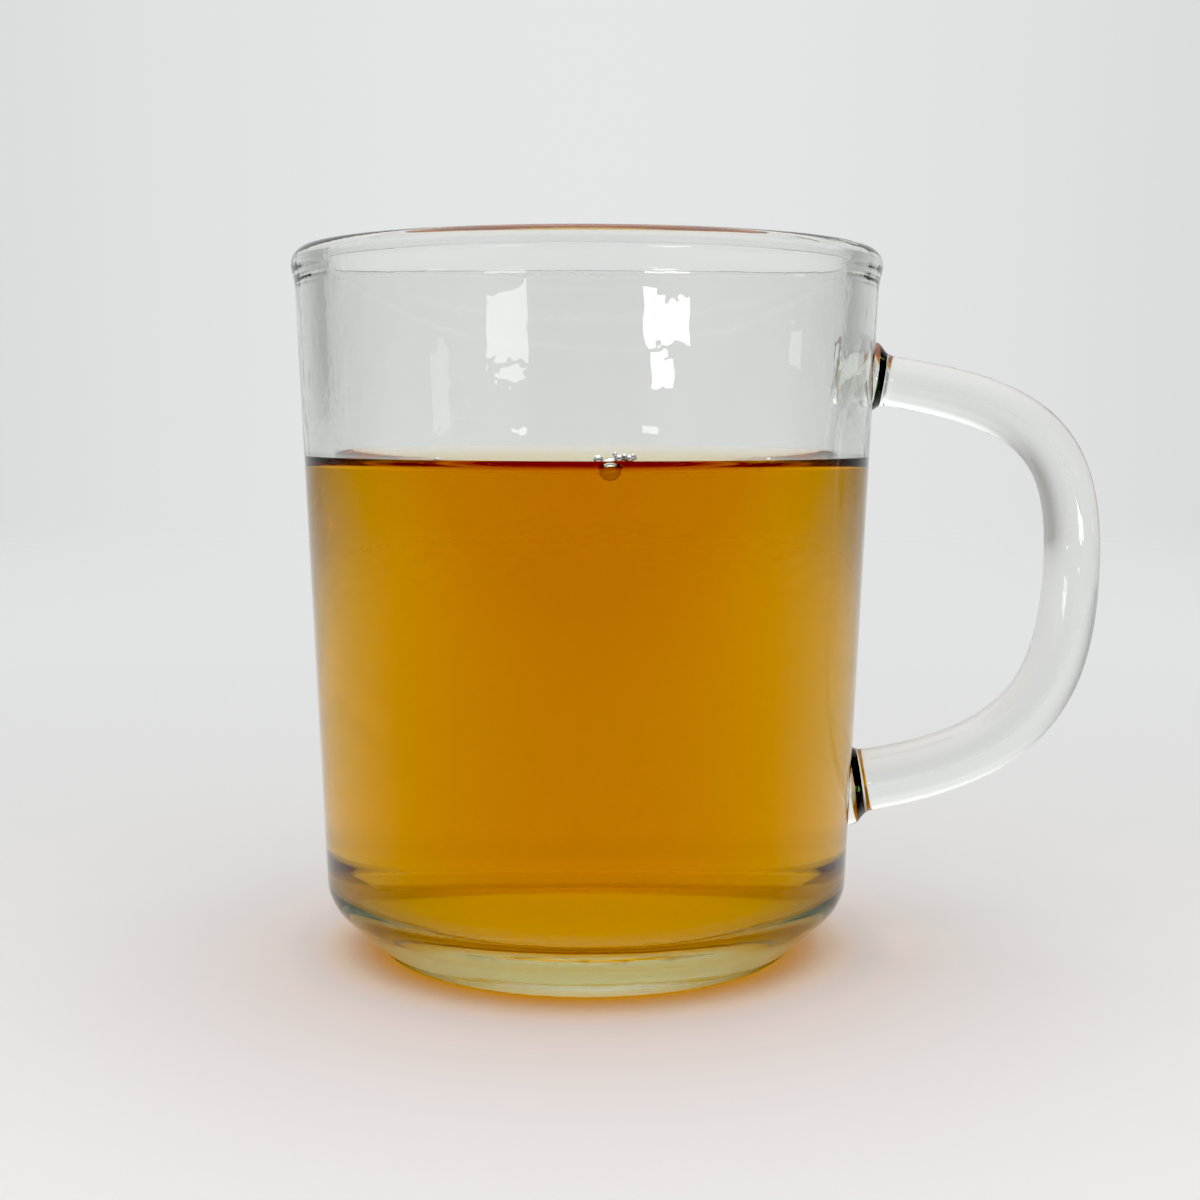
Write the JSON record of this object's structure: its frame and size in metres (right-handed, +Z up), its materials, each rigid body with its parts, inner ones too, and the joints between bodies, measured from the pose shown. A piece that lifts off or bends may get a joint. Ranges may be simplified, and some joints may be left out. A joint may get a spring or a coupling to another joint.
{
  "type": "glass mug of tea",
  "caption": "Clear pressed glass mug with a round lip, a side handle and a thick foot, about two thirds full of amber tea.",
  "frame": {"origin": "centre of the foot, on the plane that the mug stands on", "axes": "+Z up along the mug's axis, +X towards the handle"},
  "size_m": [0.1042, 0.075, 0.0897],
  "materials": {
    "clear_glass": "polished",
    "tea": "clear liquid"
  },
  "bodies": {
    "root": {"mug": "clear_glass", "tea": "tea"}
  },
  "joints": []
}
